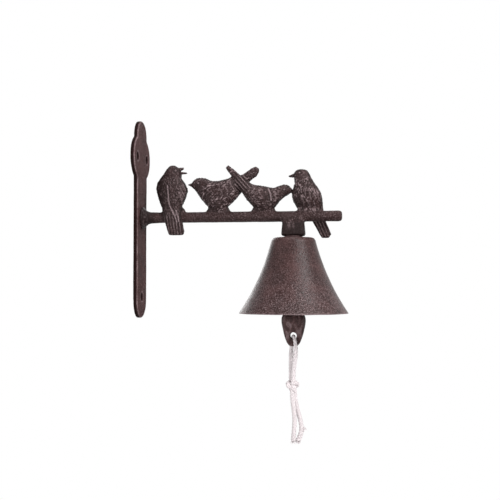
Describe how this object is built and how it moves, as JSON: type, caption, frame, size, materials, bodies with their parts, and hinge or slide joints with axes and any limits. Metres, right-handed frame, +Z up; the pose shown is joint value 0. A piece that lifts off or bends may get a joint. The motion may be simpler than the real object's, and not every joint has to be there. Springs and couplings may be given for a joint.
{
  "type": "wall bell",
  "caption": "Cast-iron wall bell: a wall plate carries a branch with perched birds, and a flared bell hangs under it with a swinging clapper and a knotted pull cord.",
  "frame": {"origin": "where the branch's axis meets the wall, on the back face of the wall plate", "axes": "+X out from the wall along the branch, +Z up, +Y to the back of the bracket as the picture shows it"},
  "size_m": [0.1956, 0.1, 0.2944],
  "materials": {
    "iron": "dark brown paint on rough cast iron, a little glossy",
    "steel": "dulled plated steel",
    "cotton": "twisted cotton cord"
  },
  "bodies": {
    "bracket": {"wall_plate": "iron", "bird_branch": "iron", "branch_screw": "steel", "bell": "iron", "eye_bolt": "steel", "lug_spacer": "steel", "crown_washer": "steel", "crown_nut": "steel"},
    "link": {"clapper_link": "steel"},
    "clapper": {"clapper": "iron"},
    "cord": {"cord_loop": "cotton", "cord_knot": "cotton", "cord_tail_straight": "cotton", "cord_tail_bowed": "cotton"}
  },
  "joints": [
    {"name": "link_swing", "type": "hinge", "parent": "bracket", "child": "link", "pos_m": [0.1456, 0, -0.0431], "axis": [1, 0, 0], "range_deg": [-14, 14]},
    {"name": "clapper_swing", "type": "hinge", "parent": "link", "child": "clapper", "pos_m": [0.1456, 0, -0.0537], "axis": [0, 1, 0], "range_deg": [-42, 42]},
    {"name": "cord_swing", "type": "hinge", "parent": "clapper", "child": "cord", "pos_m": [0.1456, 0, -0.1084], "axis": [0, 1, 0], "range_deg": [-40, 40]}
  ]
}
